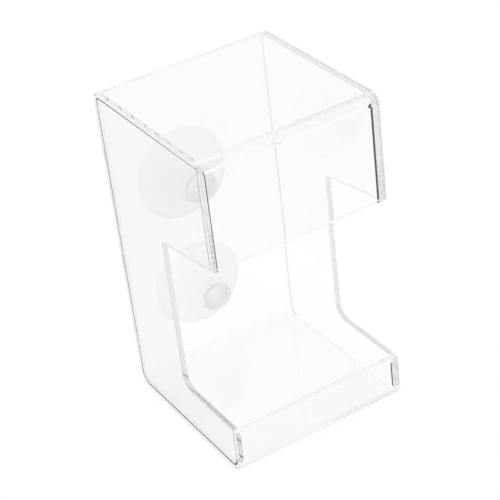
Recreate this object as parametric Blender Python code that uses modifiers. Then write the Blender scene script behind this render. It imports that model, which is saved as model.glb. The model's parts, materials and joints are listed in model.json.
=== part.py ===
"""Clear acrylic window tower: an open-fronted box with a tray, held by two suction cups.

One strip of sheet is bent four times into the front drop panel, top, back, floor and tray lip.
Two flat side panels are cemented inside the strip, flush with its cut edges, and cut back in the
middle so that a hand reaches the tray.  Each suction cup snaps into a round hole in the back.

Units are metres, +Z is up, the open front faces -Y, and the origin is the centre of the base.
"""

import math

import bmesh
import bpy
from mathutils import Vector

# Overall size of the bent strip, outside to outside
WIDTH = 0.100
DEPTH = 0.103
HEIGHT = 0.180

# Sheet
SHEET = 0.003
TOP_BEND_INNER = 0.0025     # inside radius of the two bends at the top
BASE_BEND_INNER = 0.0050    # inside radius of the two bends at the base
CEMENT_GAP = 0.0003     # between a side panel's edge and the strip

# Front and sides
DROP_PANEL = 0.058      # height of the front drop panel
LIP = 0.027             # height of the tray's lip and side walls
COLUMN = 0.052          # side panel left at the back where the sides are cut away
CUT_SLOPE = 0.007       # fall of the cut's top edge from the drop panel back to the column
CUT_FILLET = 0.008      # radius at the foot of the side cut

# Suction cups
CUP_HEIGHTS = {"lower": 0.0365, "upper": 0.1065}
CUP_RADIUS = 0.0255
CUP_REACH = 0.016       # rim plane behind the back panel
CUP_HOLLOW = 0.0075     # depth of the hollow at the middle
RIM_LAND = 0.0016       # flat width of the rim
RIM_THICKNESS = 0.0009
FLARE_CURVE = 0.55      # share of the flare's fall that is curved, the rest is a straight cone
SHOULDER_RADIUS = 0.0092
SHOULDER_HEIGHT = 0.0035
NECK_RADIUS = 0.0048
HEAD_RADIUS = 0.0082
HEAD_HEIGHT = 0.0060
HEAD_CROWN = 0.62       # share of the head's height that is domed
NECK_CLEARANCE = 0.0003
SEAT_GAP = 0.0003       # between a cup's shoulder or head and the back panel

# Fineness of round shapes
BEND_SEGMENTS = 8
ARC_SEGMENTS = 8
TURN_STEPS = 48

# Finishes
ACRYLIC = {"colour": (0.93, 0.95, 0.95), "roughness": 0.03, "transmission": 0.95}
SOFT_VINYL = {"colour": (0.88, 0.89, 0.89), "roughness": 0.25, "transmission": 0.70}

PARTS_NAME = "window_tower"


def clear_scene():
    """Empties the file, so the model is alone in it."""
    for old in list(bpy.data.objects):
        bpy.data.objects.remove(old, do_unlink=True)


def new_collection(name):
    """A collection linked to the scene."""
    collection = bpy.data.collections.new(name)
    bpy.context.scene.collection.children.link(collection)
    return collection


def new_material(name, colour, roughness, transmission):
    """A Principled material without metal."""
    material = bpy.data.materials.new(name)
    material.use_nodes = True
    shader = material.node_tree.nodes["Principled BSDF"]
    shader.inputs["Base Color"].default_value = (*colour, 1.0)
    shader.inputs["Roughness"].default_value = roughness
    shader.inputs["Metallic"].default_value = 0.0
    shader.inputs["Transmission Weight"].default_value = transmission
    material.diffuse_color = (*colour, 1.0)
    return material


def new_object(name, data, collection, material=None):
    """An object in its collection, with its material."""
    thing = bpy.data.objects.new(name, data)
    collection.objects.link(thing)
    if material:
        data.materials.append(material)
    return thing


def arc_points(centre, radius, start_degrees, end_degrees):
    """Points of an arc in a plane, both ends included."""
    points = []
    for step in range(ARC_SEGMENTS + 1):
        angle = math.radians(start_degrees + (end_degrees - start_degrees) * step / ARC_SEGMENTS)
        points.append((centre[0] + radius * math.cos(angle), centre[1] + radius * math.sin(angle)))
    return points


def strip_outline():
    """Corners of the strip's outer face, seen from the side, from the drop panel's foot round."""
    front = -DEPTH / 2
    back = DEPTH / 2
    return [
        (front, HEIGHT - DROP_PANEL),
        (front, HEIGHT),
        (back, HEIGHT),
        (back, 0.0),
        (front, 0.0),
        (front, LIP),
    ]


def make_hole_cutter(name, height, collection):
    """A round cutter through the back panel for one cup's neck."""
    mesh = bpy.data.meshes.new(name)
    shape = bmesh.new()
    bmesh.ops.create_cone(
        shape,
        cap_ends=True,
        segments=TURN_STEPS,
        radius1=NECK_RADIUS + NECK_CLEARANCE,
        radius2=NECK_RADIUS + NECK_CLEARANCE,
        depth=4 * SHEET,
    )
    shape.to_mesh(mesh)
    shape.free()
    cutter = new_object(name, mesh, collection)
    cutter.location = (0.0, DEPTH / 2 - SHEET / 2, height)
    cutter.rotation_euler = (math.pi / 2, 0.0, 0.0)
    cutter.display_type = "WIRE"
    cutter.hide_render = True
    return cutter


def make_strip(collection, cutters, material):
    """The bent strip: one open surface with its corners rounded, thickened inwards, then drilled."""
    mesh = bpy.data.meshes.new("bent_strip")
    shape = bmesh.new()
    weights = shape.edges.layers.float.new("bevel_weight_edge")
    outline = strip_outline()
    rows = []
    for y, z in outline:
        left = shape.verts.new((-WIDTH / 2, y, z))
        right = shape.verts.new((WIDTH / 2, y, z))
        rows.append((left, right))
    for first, second in zip(rows, rows[1:]):
        shape.faces.new((first[0], first[1], second[1], second[0]))
    top_share = (TOP_BEND_INNER + SHEET) / (BASE_BEND_INNER + SHEET)
    for share, (left, right) in zip((top_share, top_share, 1.0, 1.0), rows[1:-1]):
        shape.edges.get((left, right))[weights] = share
    bmesh.ops.recalc_face_normals(shape, faces=shape.faces)
    middle = Vector((0.0, 0.0, HEIGHT / 2))
    back_face = max(shape.faces, key=lambda face: face.calc_center_median().y)
    if back_face.normal.dot(back_face.calc_center_median() - middle) < 0:
        bmesh.ops.reverse_faces(shape, faces=shape.faces)
    shape.to_mesh(mesh)
    shape.free()
    strip = new_object("bent_strip", mesh, collection, material)

    bend = strip.modifiers.new("bends", "BEVEL")
    bend.limit_method = "WEIGHT"
    bend.width = BASE_BEND_INNER + SHEET
    bend.segments = BEND_SEGMENTS

    sheet = strip.modifiers.new("sheet", "SOLIDIFY")
    sheet.thickness = SHEET
    sheet.offset = -1.0
    sheet.use_even_offset = True

    for place, height in CUP_HEIGHTS.items():
        cutter = make_hole_cutter(f"cup_hole_{place}", height, cutters)
        drill = strip.modifiers.new(f"hole_{place}", "BOOLEAN")
        drill.operation = "DIFFERENCE"
        drill.solver = "EXACT"
        drill.object = cutter
    return strip


def side_outline():
    """The side panel's outline in the YZ plane, anticlockwise from the foot of its front edge."""
    inset = SHEET + CEMENT_GAP
    front = -DEPTH / 2 + inset
    back = DEPTH / 2 - inset
    top = HEIGHT - inset
    base = inset
    low = BASE_BEND_INNER - CEMENT_GAP
    high = TOP_BEND_INNER - CEMENT_GAP
    cut_back = DEPTH / 2 - COLUMN
    cut_top = HEIGHT - DROP_PANEL
    points = arc_points((front + low, base + low), low, 180, 270)
    points += arc_points((back - low, base + low), low, 270, 360)
    points += arc_points((back - high, top - high), high, 0, 90)
    points += arc_points((front + high, top - high), high, 90, 180)
    points += [(front, cut_top), (cut_back, cut_top - CUT_SLOPE)]
    fillet_centre = (cut_back - CUT_FILLET, LIP + CUT_FILLET)
    points += arc_points(fillet_centre, CUT_FILLET, 0, -90)
    points += [(front, LIP)]
    return points


def make_side(name, side, collection, material):
    """One flat side panel, flush with the strip's cut edges.  side is -1 for left, 1 for right."""
    curve = bpy.data.curves.new(name + "_outline", "CURVE")
    curve.dimensions = "2D"
    curve.fill_mode = "BOTH"
    curve.extrude = SHEET / 2
    spline = curve.splines.new("POLY")
    outline = side_outline()
    spline.points.add(len(outline) - 1)
    for point, (y, z) in zip(spline.points, outline):
        point.co = (y, z, 0.0, 1.0)
    spline.use_cyclic_u = True
    flat = new_object(name + "_outline", curve, collection)
    # The curve's own x, y and z become the panel's depth, height and thickness
    flat.rotation_euler = (math.pi / 2, 0.0, math.pi / 2)
    flat.location = (side * (WIDTH / 2 - SHEET / 2), 0.0, 0.0)
    bpy.context.view_layer.update()

    evaluated = flat.evaluated_get(bpy.context.evaluated_depsgraph_get())
    mesh = bpy.data.meshes.new_from_object(evaluated)
    mesh.name = name
    shape = bmesh.new()
    shape.from_mesh(mesh)
    bmesh.ops.remove_doubles(shape, verts=shape.verts, dist=0.00001)
    shape.to_mesh(mesh)
    shape.free()
    mesh.materials.clear()
    panel = new_object(name, mesh, collection, material)
    panel.matrix_world = flat.matrix_world.copy()
    bpy.data.objects.remove(flat, do_unlink=True)
    return panel


def cup_profile():
    """Half section of a suction cup as (radius, height), from the head's crown round to the hollow.

    Height 0 is the outer face of the back panel, and the head is on the positive side.
    """
    seat = SHEET + SEAT_GAP
    rim = -CUP_REACH
    shoulder_foot = -SEAT_GAP - SHOULDER_HEIGHT
    crown_rise = HEAD_HEIGHT * HEAD_CROWN
    crown_base = seat + HEAD_HEIGHT - crown_rise
    points = []

    # Domed head, then its rounded underside, down to the neck
    for step in range(ARC_SEGMENTS + 1):
        angle = math.radians(90 - 90 * step / ARC_SEGMENTS)
        points.append((HEAD_RADIUS * math.cos(angle), crown_base + crown_rise * math.sin(angle)))
    under_rise = crown_base - seat
    under_run = under_rise
    for step in range(1, ARC_SEGMENTS // 2 + 1):
        angle = math.radians(-90 * step / (ARC_SEGMENTS // 2))
        radius = HEAD_RADIUS - under_run + under_run * math.cos(angle)
        points.append((radius, crown_base + under_rise * math.sin(angle)))
    points.append((NECK_RADIUS, seat))
    points.append((NECK_RADIUS, -SEAT_GAP))

    # Shoulder that bears on the panel, then the flare out to the rim
    points.append((SHOULDER_RADIUS, -SEAT_GAP))
    points.append((SHOULDER_RADIUS, shoulder_foot))
    flare_run = CUP_RADIUS - SHOULDER_RADIUS
    flare_fall = shoulder_foot - (rim + RIM_THICKNESS)
    for step in range(1, ARC_SEGMENTS + 1):
        share = step / ARC_SEGMENTS
        fall = flare_fall * ((1 - FLARE_CURVE) * share + FLARE_CURVE * share * share)
        points.append((SHOULDER_RADIUS + flare_run * share, shoulder_foot - fall))

    # Flat rim, then the hollow up to its middle
    points.append((CUP_RADIUS, rim))
    hollow_radius = CUP_RADIUS - RIM_LAND
    for step in range(ARC_SEGMENTS + 1):
        angle = math.radians(90 * step / ARC_SEGMENTS)
        points.append((hollow_radius * math.cos(angle), rim + CUP_HOLLOW * math.sin(angle)))
    return points


def make_cup(place, height, collection, material):
    """One suction cup, turned about the hole's axis, with its head inside the tower."""
    mesh = bpy.data.meshes.new(f"suction_cup_{place}")
    shape = bmesh.new()
    previous = None
    for radius, level in cup_profile():
        vertex = shape.verts.new((radius, 0.0, level))
        if previous:
            shape.edges.new((previous, vertex))
        previous = vertex
    shape.to_mesh(mesh)
    shape.free()
    cup = new_object(f"suction_cup_{place}", mesh, collection, material)
    cup.location = (0.0, DEPTH / 2, height)
    cup.rotation_euler = (math.pi / 2, 0.0, 0.0)
    turn = cup.modifiers.new("turn", "SCREW")
    turn.axis = "Z"
    turn.angle = 2 * math.pi
    turn.steps = TURN_STEPS
    turn.render_steps = TURN_STEPS
    turn.use_merge_vertices = True
    turn.merge_threshold = 0.00001
    turn.use_smooth_shade = True
    return cup


def main():
    clear_scene()
    parts = new_collection(PARTS_NAME)
    cutters = new_collection("cutters")
    make_strip(parts, cutters, new_material("strip_acrylic", **ACRYLIC))
    for place, side in (("left", -1), ("right", 1)):
        make_side(f"side_panel_{place}", side, parts, new_material(f"{place}_acrylic", **ACRYLIC))
    for place, height in CUP_HEIGHTS.items():
        make_cup(place, height, parts, new_material(f"{place}_vinyl", **SOFT_VINYL))
    bpy.context.view_layer.update()


main()
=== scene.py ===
"""Looks for the clear acrylic window tower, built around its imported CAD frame.

Every visible piece is modelled again here at the CAD's size, with finer bends, polished edge
breaks and clear materials, and rides on its CAD body.  Units are metres, +Z up, front at -Y.
"""

import json
import math
import random

import bmesh
import bpy
from mathutils import Matrix, Vector


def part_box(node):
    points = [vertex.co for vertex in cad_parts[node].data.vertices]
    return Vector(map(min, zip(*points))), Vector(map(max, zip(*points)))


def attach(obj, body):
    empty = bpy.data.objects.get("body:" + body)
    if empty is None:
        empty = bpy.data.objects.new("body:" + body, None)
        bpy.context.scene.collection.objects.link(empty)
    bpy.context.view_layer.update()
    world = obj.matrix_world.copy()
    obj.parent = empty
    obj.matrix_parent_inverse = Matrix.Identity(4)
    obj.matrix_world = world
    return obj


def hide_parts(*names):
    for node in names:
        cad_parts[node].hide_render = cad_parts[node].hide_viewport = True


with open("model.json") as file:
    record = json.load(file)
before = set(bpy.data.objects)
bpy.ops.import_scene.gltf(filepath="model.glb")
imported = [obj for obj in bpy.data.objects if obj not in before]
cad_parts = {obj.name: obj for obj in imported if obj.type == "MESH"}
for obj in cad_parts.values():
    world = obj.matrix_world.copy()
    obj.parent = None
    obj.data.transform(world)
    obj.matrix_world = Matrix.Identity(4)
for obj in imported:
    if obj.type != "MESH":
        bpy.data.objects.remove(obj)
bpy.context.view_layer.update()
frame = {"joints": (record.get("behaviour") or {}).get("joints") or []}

# Sizes read from the frame
STRIP_LOW, STRIP_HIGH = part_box("bent_strip")
SIDE_LOW, SIDE_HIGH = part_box("side_panel_left")
CUP_LOW, CUP_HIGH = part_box("suction_cup_upper")
JOINTS = {joint["name"]: joint for joint in frame["joints"]}
CUP_AXES = {
    "upper": Vector(JOINTS["upper_cup_turn"]["pos_m"]),
    "lower": Vector(JOINTS["lower_cup_turn"]["pos_m"]),
}
WIDTH = STRIP_HIGH.x - STRIP_LOW.x
DEPTH = STRIP_HIGH.y - STRIP_LOW.y
HEIGHT = STRIP_HIGH.z - STRIP_LOW.z
SHEET = SIDE_HIGH.x - SIDE_LOW.x
CUP_RADIUS = (CUP_HIGH.x - CUP_LOW.x) / 2
CUP_REACH = CUP_HIGH.y - STRIP_HIGH.y

# Sizes that the CAD part also has
TOP_BEND_INNER = 0.0025
BASE_BEND_INNER = 0.0050
DROP_PANEL = 0.058
CUT_SLOPE = 0.007
LIP = 0.027
COLUMN = 0.052
CUT_FILLET = 0.008
HOLE_RADIUS = 0.0051
NECK_RADIUS = 0.0048
HEAD_RADIUS = 0.0082
HEAD_HEIGHT = 0.0060
HEAD_CROWN = 0.62        # share of the head's height that is domed
SHOULDER_RADIUS = 0.0092
SHOULDER_HEIGHT = 0.0035
SEAT_GAP = 0.0003
CUP_HOLLOW = 0.0075
RIM_LAND = 0.0016
RIM_THICKNESS = 0.0009
FLARE_CURVE = 0.55       # share of the flare's fall that is curved

# Finish of the pieces
JOINT_GAP = 0.00008      # air line left in the cemented joints
EDGE_BREAK = 0.00018     # polished edge radius of the sheet
CUP_EDGE_BREAK = 0.0003
PICK = 0.0003            # how near to an edge's plane a face counts as part of that edge
ACRYLIC_IOR = 1.49
BEND_SEGMENTS = 64
FILLET_SEGMENTS = 48
ARC_SEGMENTS = 12
TURN_STEPS = 128

# Cement in the joints, drawn near black as painted shade where the joints look dark
SEAM_RADIUS = 0.00030    # the shares below scale it
SEAM_SHARES = {
    "left": {"base": 1.5, "back": 1.1, "top": 0.6, "front": 0.6, "drop": 0.8, "lip": 0.3},
    "right": {"base": 0.2, "back": 0.1, "top": 0.3, "front": 0.2, "drop": 1.7, "lip": 1.1},
}
SEAM_FLATNESS = 0.2      # the outer lines are thin films on the joint
SEAM_END = 0.0004        # kept back from the free edges
BUBBLE_ZONES = {         # low and high end, number of bubbles
    "left": [(0.0065, 0.0255, 16), (0.1235, 0.1380, 9)],
    "right": [],
}
BUBBLE_SEED = 4

# Suction cups
VINYL_IOR = 1.06
VINYL_CLARITY = 0.97
VINYL_DENSITY = 5.0      # per metre

# Light
FLOOR_PAINTED_LIGHT_POOL = (0.08, 0.25, 0.95, 0.78)      # near and far distance, albedo near and far: a painted pool of light, lighter round the tower
FLOOR_WHITENESS = 0.88   # share of plain white in the floor as the camera sees it
FLOOR_GLOW = 1.05        # brings the open floor up to the white of the backdrop
WORLD_LIGHT = 0.85       # what the pieces and the floor are lit by

# Camera
CAMERA_AZIMUTH = -28.6
CAMERA_ELEVATION = 32.17
CAMERA_ROLL = -7.13
CAMERA_DISTANCE = 0.844
CAMERA_OFFSET = (-0.00094, -0.00073)
LENS_MM = 118.8
SENSOR_MM = 36.0


# ---------------------------------------------------------------- shapes

def arc(centre, radius, start, end, segments):
    """Points of an arc, both ends included, angles in degrees."""
    points = []
    for step in range(segments + 1):
        angle = math.radians(start + (end - start) * step / segments)
        points.append((centre[0] + radius * math.cos(angle), centre[1] + radius * math.sin(angle)))
    return points


def strip_side(inset):
    """One face of the bent strip as a line in the YZ plane, inset from the outer face."""
    high = TOP_BEND_INNER + SHEET - inset
    low = BASE_BEND_INNER + SHEET - inset
    front = -DEPTH / 2 + inset
    back = DEPTH / 2 - inset
    top = HEIGHT - inset
    base = inset
    points = [(front, HEIGHT - DROP_PANEL)]
    points += arc((front + high, top - high), high, 180, 90, BEND_SEGMENTS)
    points += arc((back - high, top - high), high, 90, 0, BEND_SEGMENTS)
    points += arc((back - low, base + low), low, 0, -90, BEND_SEGMENTS)
    points += arc((front + low, base + low), low, -90, -180, BEND_SEGMENTS)
    points.append((front, LIP))
    return points


def side_outline():
    """The side panel's outline in the YZ plane."""
    inset = SHEET + JOINT_GAP
    high = TOP_BEND_INNER - JOINT_GAP
    low = BASE_BEND_INNER - JOINT_GAP
    segments = BEND_SEGMENTS
    front = -DEPTH / 2 + inset
    back = DEPTH / 2 - inset
    top = HEIGHT - inset
    base = inset
    cut_back = DEPTH / 2 - COLUMN
    cut_top = HEIGHT - DROP_PANEL
    points = arc((front + low, base + low), low, 180, 270, segments)
    points += arc((back - low, base + low), low, 270, 360, segments)
    points += arc((back - high, top - high), high, 0, 90, segments)
    points += arc((front + high, top - high), high, 90, 180, segments)
    points += [(front, cut_top), (cut_back, cut_top - CUT_SLOPE)]
    points += arc((cut_back - CUT_FILLET, LIP + CUT_FILLET), CUT_FILLET, 0, -90, FILLET_SEGMENTS)
    points.append((front, LIP))
    return points


def extruded(name, outline, x_low, x_high):
    """A solid with that YZ outline between two X planes."""
    mesh = bpy.data.meshes.new(name)
    shape = bmesh.new()
    ring = [shape.verts.new((x_low, y, z)) for y, z in outline]
    face = shape.faces.new(ring)
    grown = bmesh.ops.extrude_face_region(shape, geom=[face])
    moved = [item for item in grown["geom"] if isinstance(item, bmesh.types.BMVert)]
    bmesh.ops.translate(shape, verts=moved, vec=(x_high - x_low, 0.0, 0.0))
    bmesh.ops.recalc_face_normals(shape, faces=shape.faces)
    shape.to_mesh(mesh)
    shape.free()
    thing = bpy.data.objects.new(name, mesh)
    bpy.context.scene.collection.objects.link(thing)
    return thing


def apply_modifiers(thing):
    """Makes the evaluated shape the object's own mesh."""
    bpy.context.view_layer.update()
    evaluated = thing.evaluated_get(bpy.context.evaluated_depsgraph_get())
    mesh = bpy.data.meshes.new_from_object(evaluated)
    thing.modifiers.clear()
    old = thing.data
    thing.data = mesh
    bpy.data.meshes.remove(old)


def drill(thing, centre, radius):
    """Cuts a round hole along Y through the sheet."""
    mesh = bpy.data.meshes.new("drill")
    shape = bmesh.new()
    bmesh.ops.create_cone(
        shape, cap_ends=True, segments=TURN_STEPS, radius1=radius, radius2=radius, depth=4 * SHEET
    )
    shape.to_mesh(mesh)
    shape.free()
    tool = bpy.data.objects.new("drill", mesh)
    bpy.context.scene.collection.objects.link(tool)
    tool.matrix_world = Matrix.Translation(centre) @ Matrix.Rotation(math.pi / 2, 4, "X")
    cut = thing.modifiers.new("hole", "BOOLEAN")
    cut.operation = "DIFFERENCE"
    cut.object = tool
    apply_modifiers(thing)
    bpy.data.objects.remove(tool, do_unlink=True)
    bpy.data.meshes.remove(mesh)


def break_edges(thing, width):
    """Rounds the sharp edges a little, as flame polishing does."""
    bevel = thing.modifiers.new("edges", "BEVEL")
    bevel.limit_method = "ANGLE"
    bevel.angle_limit = math.radians(40)
    bevel.width = width
    bevel.segments = 3
    apply_modifiers(thing)


def finish_piece(thing, body, node, materials):
    """Gives a piece its materials and its body, and hides the CAD node that it stands for."""
    thing.data.materials.clear()
    for material in materials:
        thing.data.materials.append(material)
    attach(thing, body)
    if node:
        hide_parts(node)


# ------------------------------------------------------------- materials

class Nodes:
    """Short names for building a node tree."""

    def __init__(self, name):
        self.material = bpy.data.materials.new(name)
        self.material.use_nodes = True
        self.tree = self.material.node_tree
        self.shader = self.tree.nodes["Principled BSDF"]
        self.output = self.tree.nodes["Material Output"]

    def add(self, kind):
        return self.tree.nodes.new(kind)

    def link(self, source, target):
        self.tree.links.new(source, target)


def noise(nodes, position, scale, detail):
    """A noise texture in object space, scale in features per metre."""
    texture = nodes.add("ShaderNodeTexNoise")
    texture.inputs["Scale"].default_value = scale
    texture.inputs["Detail"].default_value = detail
    nodes.link(position, texture.inputs["Vector"])
    return texture.outputs["Fac"]


def spread(nodes, value, low, high):
    """Maps a 0 to 1 value onto a range."""
    node = nodes.add("ShaderNodeMapRange")
    node.inputs["From Min"].default_value = 0.3
    node.inputs["From Max"].default_value = 0.7
    node.inputs["To Min"].default_value = low
    node.inputs["To Max"].default_value = high
    nodes.link(value, node.inputs["Value"])
    return node.outputs["Result"]


def blend(nodes, share, low, high):
    """A colour between two by a share from 0 to 1, linked to the shader's base colour."""
    node = nodes.add("ShaderNodeMixRGB")
    node.inputs["Color1"].default_value = (*low, 1.0)
    node.inputs["Color2"].default_value = (*high, 1.0)
    nodes.link(share, node.inputs["Fac"])
    nodes.link(node.outputs["Color"], nodes.shader.inputs["Base Color"])


def bump(nodes, height, distance):
    """Bump that is distance metres deep where height is 1."""
    node = nodes.add("ShaderNodeBump")
    node.inputs["Distance"].default_value = distance
    nodes.link(height, node.inputs["Height"])
    nodes.link(node.outputs["Normal"], nodes.shader.inputs["Normal"])


def clear_plastic(name, tint, rough_low, rough_high, wave_height):
    """Clear acrylic with faint waviness and slightly uneven gloss."""
    nodes = Nodes(name)
    shader = nodes.shader
    shader.inputs["Base Color"].default_value = (tint, tint, tint, 1.0)
    shader.inputs["Metallic"].default_value = 0.0
    shader.inputs["IOR"].default_value = ACRYLIC_IOR
    shader.inputs["Transmission Weight"].default_value = 1.0
    position = nodes.add("ShaderNodeTexCoord").outputs["Object"]
    gloss = noise(nodes, position, 220.0, 4.0)
    nodes.link(spread(nodes, gloss, rough_low, rough_high), shader.inputs["Roughness"])
    bump(nodes, noise(nodes, position, 22.0, 2.0), wave_height)
    return nodes.material


def worked_plastic(name, ior, tint_low, tint_high, rough_low, rough_high):
    """Acrylic where it was cut or heated: hazy, and softer at bending light than the clear faces. On
    cut edges its grey tint is partly that haze and partly painted shade for the dark lines along
    them.
    """
    nodes = Nodes(name)
    shader = nodes.shader
    shader.inputs["Metallic"].default_value = 0.0
    shader.inputs["IOR"].default_value = ior
    shader.inputs["Transmission Weight"].default_value = 1.0
    position = nodes.add("ShaderNodeTexCoord").outputs["Object"]
    streaks = noise(nodes, position, 260.0, 4.0)
    blend(nodes, spread(nodes, streaks, 0.0, 1.0), [tint_low] * 3, [tint_high] * 3)
    nodes.link(spread(nodes, streaks, rough_low, rough_high), shader.inputs["Roughness"])
    bump(nodes, noise(nodes, position, 2400.0, 2.0), 0.00001)
    return nodes.material


def soft_vinyl():
    """Milky soft vinyl, darker where it is thicker."""
    nodes = Nodes("soft_vinyl")
    shader = nodes.shader
    shader.inputs["Metallic"].default_value = 0.0
    shader.inputs["IOR"].default_value = VINYL_IOR
    shader.inputs["Transmission Weight"].default_value = VINYL_CLARITY
    position = nodes.add("ShaderNodeTexCoord").outputs["Object"]
    clouds = noise(nodes, position, 140.0, 3.0)
    blend(nodes, clouds, (0.955, 0.96, 0.96), (0.985, 0.99, 0.99))
    gloss = noise(nodes, position, 900.0, 3.0)
    nodes.link(spread(nodes, gloss, 0.30, 0.42), shader.inputs["Roughness"])
    bump(nodes, noise(nodes, position, 300.0, 2.0), 0.00005)
    volume = nodes.add("ShaderNodeVolumeAbsorption")
    volume.inputs["Color"].default_value = (0.0, 0.0, 0.0, 1.0)
    volume.inputs["Density"].default_value = VINYL_DENSITY
    nodes.link(volume.outputs["Volume"], nodes.output.inputs["Volume"])
    return nodes.material


def painted_shade_and_reflection(name, tint_low, tint_high):
    """Painted shade for a joint's set cement and the shadow trapped in it, and painted reflection for
    its bubbles, darker and lighter along its length.
    """
    nodes = Nodes(name)
    position = nodes.add("ShaderNodeTexCoord").outputs["Object"]
    patches = noise(nodes, position, 400.0, 3.0)
    blend(nodes, spread(nodes, patches, 0.0, 1.0), [tint_low] * 3, [tint_high] * 3)
    nodes.shader.inputs["Roughness"].default_value = 0.5
    bump(nodes, noise(nodes, position, 1500.0, 2.0), 0.00005)
    return nodes.material


# ---------------------------------------------------------------- pieces

def make_strip(material, eased, heated, joint):
    """The bent strip, with its bends, free ends and long cut edges in their own finishes."""
    outline = strip_side(0.0) + strip_side(SHEET)[::-1]
    strip = extruded("acrylic_strip", outline, STRIP_LOW.x, STRIP_HIGH.x)
    for axis in CUP_AXES.values():
        drill(strip, (axis.x, STRIP_HIGH.y - SHEET / 2, axis.z), HOLE_RADIUS)
    break_edges(strip, EDGE_BREAK)
    finish_piece(strip, "tower", "bent_strip", [material, eased, heated, joint])
    for face in strip.data.polygons:
        middle = face.center
        at_lip = abs(middle.z - LIP) < PICK and middle.y < 0
        at_drop = abs(middle.z - HEIGHT + DROP_PANEL) < PICK and middle.y < 0
        if abs(face.normal.x) > 0.3:
            face.material_index = 3
        elif at_lip or at_drop:
            face.material_index = 1
        elif min(abs(face.normal.y), abs(face.normal.z)) > 0.02 and face.area > 0.000001:
            face.material_index = 2


def make_side(place, material, sawn, joint):
    """One side panel, with the edges of its open cut left as sawn, their grey partly painted shade.
    """
    low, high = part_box(f"side_panel_{place}")
    panel = extruded(f"acrylic_side_{place}", side_outline(), low.x, high.x)
    break_edges(panel, EDGE_BREAK)
    finish_piece(panel, "tower", f"side_panel_{place}", [material, sawn, joint])
    low, high = LIP - PICK, HEIGHT - DROP_PANEL + PICK
    front = -DEPTH / 2 + SHEET + 0.0004
    back = DEPTH / 2 - COLUMN + PICK
    for face in panel.data.polygons:
        if abs(face.normal.x) > 0.97:
            continue
        middle = face.center
        in_cut = low < middle.z < high and front < middle.y < back
        face.material_index = 1 if in_cut else 2


def seam_path(shares):
    """The joint line in the YZ plane with a thickness share at each point, all round a side panel."""
    front = -DEPTH / 2 + SHEET
    back = DEPTH / 2 - SHEET
    top = HEIGHT - SHEET
    base = SHEET
    high, low = TOP_BEND_INNER, BASE_BEND_INNER
    path = [(front, LIP - SEAM_END, shares["front"]), (front, base + low, shares["front"])]
    for y, z in arc((front + low, base + low), low, 180, 270, 12):
        path.append((y, z, shares["base"]))
    for y, z in arc((back - low, base + low), low, 270, 360, 12):
        path.append((y, z, shares["base"]))
    path.append((back, base + low + 0.012, shares["back"]))
    for y, z in arc((back - high, top - high), high, 0, 90, 12):
        path.append((y, z, shares["back"]))
    for y, z in arc((front + high, top - high), high, 90, 180, 12):
        path.append((y, z, shares["top"]))
    path.append((front, top - high - 0.004, shares["front"]))
    path.append((front, HEIGHT - DROP_PANEL + SEAM_END, shares["front"]))
    return path


def inner_beads(shares):
    """The beads in the inner corners behind the drop panel and behind the tray's lip, near-black
    lines of painted shade in those corners.

    Each is its path and its radius, and it touches the two sheets without entering them.
    """
    top = HEIGHT - SHEET - TOP_BEND_INNER
    base = SHEET + BASE_BEND_INNER
    beads = []
    for share, low, high in (
        (shares["drop"], HEIGHT - DROP_PANEL + SEAM_END, top),
        (shares["lip"], base, LIP - 0.0045),
    ):
        radius = SEAM_RADIUS * share
        y = -DEPTH / 2 + SHEET + radius
        beads.append(([(y, high, 1.0), (y, low, 1.0)], radius))
    return beads


def tube(shape, x, path, radius, flatness):
    """A thin tube in the plane of that X along the path, thicker where the path's share is.

    flatness is its thickness along X as a share of its width.
    """
    rings = []
    for index, (y, z, share) in enumerate(path):
        before = path[max(index - 1, 0)]
        after = path[min(index + 1, len(path) - 1)]
        along = Vector((after[0] - before[0], after[1] - before[1])).normalized()
        ring = []
        for step in range(8):
            angle = math.tau * step / 8
            out = radius * share * math.sin(angle)
            ring.append(shape.verts.new((
                x + radius * share * flatness * math.cos(angle), y - along.y * out, z + along.x * out
            )))
        rings.append(ring)
    for first, second in zip(rings, rings[1:]):
        for step in range(8):
            following = (step + 1) % 8
            shape.faces.new((first[step], first[following], second[following], second[step]))
    for ring in (rings[0], rings[-1]):
        shape.faces.new(ring)


def make_seam(place, side, materials):
    """The set cement in one side panel's joint: a near-black line of painted shade near each face and
    a few flat bubbles in grey painted reflection.
    """
    name = f"painted_shade_seam_{place}"
    mesh = bpy.data.meshes.new(name)
    shape = bmesh.new()
    shares = SEAM_SHARES[place]
    tube(shape, side * (WIDTH / 2 - 0.0001), seam_path(shares), SEAM_RADIUS, SEAM_FLATNESS)
    for path, radius in inner_beads(shares):
        tube(shape, side * (WIDTH / 2 - SHEET - radius), path, radius, 1.0)
    chance = random.Random(BUBBLE_SEED)
    for low, high, count in BUBBLE_ZONES[place]:
        for number in range(count):
            z = low + (high - low) * (number + chance.uniform(0.1, 0.9)) / count
            half = chance.uniform(0.0004, 0.0011)
            x = side * (WIDTH / 2 - SHEET / 2 + chance.uniform(-0.0005, 0.0005))
            tick = bmesh.ops.create_uvsphere(shape, u_segments=12, v_segments=8, radius=1.0)
            size = Matrix.Diagonal((half, 0.00004, chance.uniform(0.00008, 0.00015), 1.0))
            place_at = Matrix.Translation((x, -DEPTH / 2 + SHEET + JOINT_GAP / 2, z))
            bmesh.ops.transform(shape, matrix=place_at @ size, verts=tick["verts"])
            for face in {face for vertex in tick["verts"] for face in vertex.link_faces}:
                face.material_index = 1
    bmesh.ops.recalc_face_normals(shape, faces=shape.faces)
    kinds = [face.material_index for face in shape.faces]
    shape.to_mesh(mesh)
    shape.free()
    mesh.shade_smooth()
    seam = bpy.data.objects.new(name, mesh)
    bpy.context.scene.collection.objects.link(seam)
    finish_piece(seam, "tower", None, materials)
    for face, index in zip(seam.data.polygons, kinds):
        face.material_index = index


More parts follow.
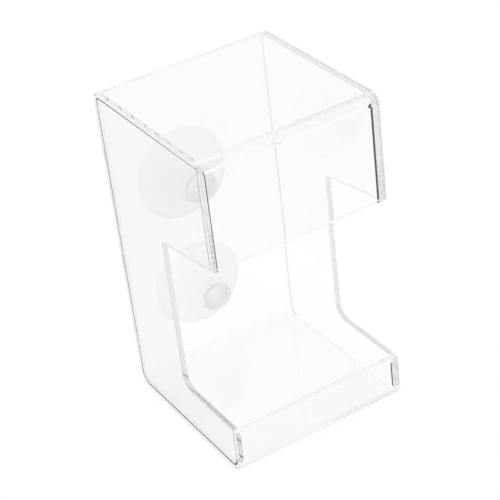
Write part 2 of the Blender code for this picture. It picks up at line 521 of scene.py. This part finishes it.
def cup_profile():
    """Half section of a suction cup as (radius, height), height 0 on the back panel's outer face."""
    seat = SHEET + SEAT_GAP
    rim = -CUP_REACH
    shoulder_foot = -SEAT_GAP - SHOULDER_HEIGHT
    crown_rise = HEAD_HEIGHT * HEAD_CROWN
    crown_base = seat + HEAD_HEIGHT - crown_rise
    points = []
    for radius, level in arc((0.0, 0.0), 1.0, 90, 0, 2 * ARC_SEGMENTS):
        points.append((HEAD_RADIUS * radius, crown_base + crown_rise * level))
    under = crown_base - seat
    for radius, level in arc((0.0, 0.0), under, 0, -90, ARC_SEGMENTS)[1:]:
        points.append((HEAD_RADIUS - under + radius, crown_base + level))
    points += [(NECK_RADIUS, seat), (NECK_RADIUS, -SEAT_GAP), (SHOULDER_RADIUS, -SEAT_GAP)]
    points.append((SHOULDER_RADIUS, shoulder_foot))
    run = CUP_RADIUS - SHOULDER_RADIUS
    fall = shoulder_foot - (rim + RIM_THICKNESS)
    steps = 2 * ARC_SEGMENTS
    for step in range(1, steps + 1):
        share = step / steps
        level = shoulder_foot - fall * ((1 - FLARE_CURVE) * share + FLARE_CURVE * share * share)
        points.append((SHOULDER_RADIUS + run * share, level))
    points.append((CUP_RADIUS, rim))
    for radius, level in arc((0.0, 0.0), 1.0, 0, 90, 2 * ARC_SEGMENTS):
        points.append(((CUP_RADIUS - RIM_LAND) * radius, rim + CUP_HOLLOW * level))
    return points


def make_cup(place, material):
    """One suction cup, turned about its hole's axis."""
    name = f"vinyl_cup_{place}"
    mesh = bpy.data.meshes.new(name)
    shape = bmesh.new()
    previous = None
    for radius, level in cup_profile():
        vertex = shape.verts.new((radius, 0.0, level))
        if previous:
            shape.edges.new((previous, vertex))
        previous = vertex
    shape.to_mesh(mesh)
    shape.free()
    cup = bpy.data.objects.new(name, mesh)
    bpy.context.scene.collection.objects.link(cup)
    turn = cup.modifiers.new("turn", "SCREW")
    turn.axis = "Z"
    turn.steps = TURN_STEPS
    turn.render_steps = TURN_STEPS
    turn.use_merge_vertices = True
    turn.merge_threshold = 0.000005
    apply_modifiers(cup)
    axis = CUP_AXES[place]
    cup.data.transform(Matrix.Translation(axis) @ Matrix.Rotation(math.pi / 2, 4, "X"))
    break_edges(cup, CUP_EDGE_BREAK)
    cup.data.shade_smooth()
    finish_piece(cup, f"{place}_cup", f"suction_cup_{place}", [material])


# ----------------------------------------------------------------- stage

def seen_directly(tree):
    """1 for camera and transmission rays, 0 for the rest."""
    path = tree.nodes.new("ShaderNodeLightPath")
    either = tree.nodes.new("ShaderNodeMath")
    either.operation = "MAXIMUM"
    tree.links.new(path.outputs["Is Camera Ray"], either.inputs[0])
    tree.links.new(path.outputs["Is Transmission Ray"], either.inputs[1])
    return either.outputs[0]


def make_floor():
    """A pale matt floor, white where it is seen directly, which keeps the object's soft shadow. Its
    albedo is a painted pool of light, lighter near the tower and darker farther out.
    """
    mesh = bpy.data.meshes.new("floor")
    shape = bmesh.new()
    bmesh.ops.create_grid(shape, x_segments=1, y_segments=1, size=6.0)
    shape.to_mesh(mesh)
    shape.free()
    floor = bpy.data.objects.new("floor", mesh)
    bpy.context.scene.collection.objects.link(floor)
    floor.location.z = STRIP_LOW.z - 0.0002
    material = bpy.data.materials.new("white_sweep")
    material.use_nodes = True
    tree = material.node_tree
    tree.nodes.clear()
    diffuse = tree.nodes.new("ShaderNodeBsdfDiffuse")
    position = tree.nodes.new("ShaderNodeTexCoord")
    distance = tree.nodes.new("ShaderNodeVectorMath")
    distance.operation = "LENGTH"
    tree.links.new(position.outputs["Object"], distance.inputs[0])
    # painted pool of light: the albedo falls from light near the tower to darker far away
    painted_light_pool = tree.nodes.new("ShaderNodeMapRange")
    for socket, value in zip(("From Min", "From Max", "To Min", "To Max"), FLOOR_PAINTED_LIGHT_POOL):
        painted_light_pool.inputs[socket].default_value = value
    tree.links.new(distance.outputs["Value"], painted_light_pool.inputs["Value"])
    tree.links.new(painted_light_pool.outputs["Result"], diffuse.inputs["Color"])
    glow = tree.nodes.new("ShaderNodeEmission")
    glow.inputs["Strength"].default_value = FLOOR_GLOW
    strength = tree.nodes.new("ShaderNodeMath")
    strength.operation = "MULTIPLY"
    strength.inputs[1].default_value = FLOOR_WHITENESS
    tree.links.new(seen_directly(tree), strength.inputs[0])
    both = tree.nodes.new("ShaderNodeMixShader")
    tree.links.new(strength.outputs[0], both.inputs[0])
    tree.links.new(diffuse.outputs[0], both.inputs[1])
    tree.links.new(glow.outputs[0], both.inputs[2])
    output = tree.nodes.new("ShaderNodeOutputMaterial")
    tree.links.new(both.outputs[0], output.inputs["Surface"])
    mesh.materials.append(material)


def make_world():
    """Even light from all round, and plain white where it is seen directly."""
    world = bpy.data.worlds.new("studio")
    bpy.context.scene.world = world
    world.use_nodes = True
    tree = world.node_tree
    background = tree.nodes["Background"]
    background.inputs["Color"].default_value = (1.0, 1.0, 1.0, 1.0)
    strength = tree.nodes.new("ShaderNodeMapRange")
    strength.inputs["To Min"].default_value = WORLD_LIGHT
    strength.inputs["To Max"].default_value = 1.0
    tree.links.new(seen_directly(tree), strength.inputs["Value"])
    tree.links.new(strength.outputs["Result"], background.inputs["Strength"])


def make_camera():
    """The camera, turned about the middle of the tower and rolled a little."""
    azimuth = math.radians(CAMERA_AZIMUTH)
    elevation = math.radians(CAMERA_ELEVATION)
    roll = math.radians(CAMERA_ROLL)
    back = Vector((
        math.sin(azimuth) * math.cos(elevation),
        -math.cos(azimuth) * math.cos(elevation),
        math.sin(elevation),
    ))
    level = (-back).cross(Vector((0.0, 0.0, 1.0))).normalized()
    upright = level.cross(-back)
    right = math.cos(roll) * level + math.sin(roll) * upright
    up = -math.sin(roll) * level + math.cos(roll) * upright
    place = Vector((0.0, 0.0, HEIGHT / 2)) + back * CAMERA_DISTANCE
    place += right * CAMERA_OFFSET[0] + up * CAMERA_OFFSET[1]
    data = bpy.data.cameras.new("camera")
    data.lens = LENS_MM
    data.sensor_width = SENSOR_MM
    camera = bpy.data.objects.new("camera", data)
    bpy.context.scene.collection.objects.link(camera)
    camera.matrix_world = Matrix((
        (right.x, up.x, back.x, place.x),
        (right.y, up.y, back.y, place.y),
        (right.z, up.z, back.z, place.z),
        (0.0, 0.0, 0.0, 1.0),
    ))
    bpy.context.scene.camera = camera


def main():
    make_camera()
    make_world()
    make_floor()
    scene = bpy.context.scene
    scene.view_settings.view_transform = "Standard"
    # Light goes round inside the clear sheet many times before it leaves at an edge
    scene.cycles.max_bounces = 256
    scene.cycles.transmission_bounces = 256
    scene.cycles.glossy_bounces = 256
    acrylic = clear_plastic("clear_acrylic", 0.99, 0.0, 0.012, 0.00002)
    # the grey of the sawn, eased and joint edges is partly haze and partly painted shade for their
    # dark lines
    sawn = worked_plastic("sawn_cut_painted_shade", 1.14, 0.78, 0.93, 0.25, 0.40)
    eased = worked_plastic("eased_cut_painted_shade", 1.12, 0.90, 0.97, 0.12, 0.22)
    joint = worked_plastic("joint_face_painted_shade", 1.12, 0.82, 0.92, 0.12, 0.22)
    heated = worked_plastic("heated_bend", 1.16, 0.95, 0.99, 0.10, 0.18)
    vinyl = soft_vinyl()
    # near-black painted shade for the joint lines, grey painted reflection for the bubbles
    cement = painted_shade_and_reflection("painted_joint_shade", 0.012, 0.035)
    bubbles = painted_shade_and_reflection("bubbles_painted_reflection", 0.22, 0.50)
    make_strip(acrylic, eased, heated, joint)
    for place in ("left", "right"):
        make_side(place, acrylic, sawn, joint)
        make_seam(place, -1 if place == "left" else 1, [cement, bubbles])
    for place in CUP_AXES:
        make_cup(place, vinyl)


main()
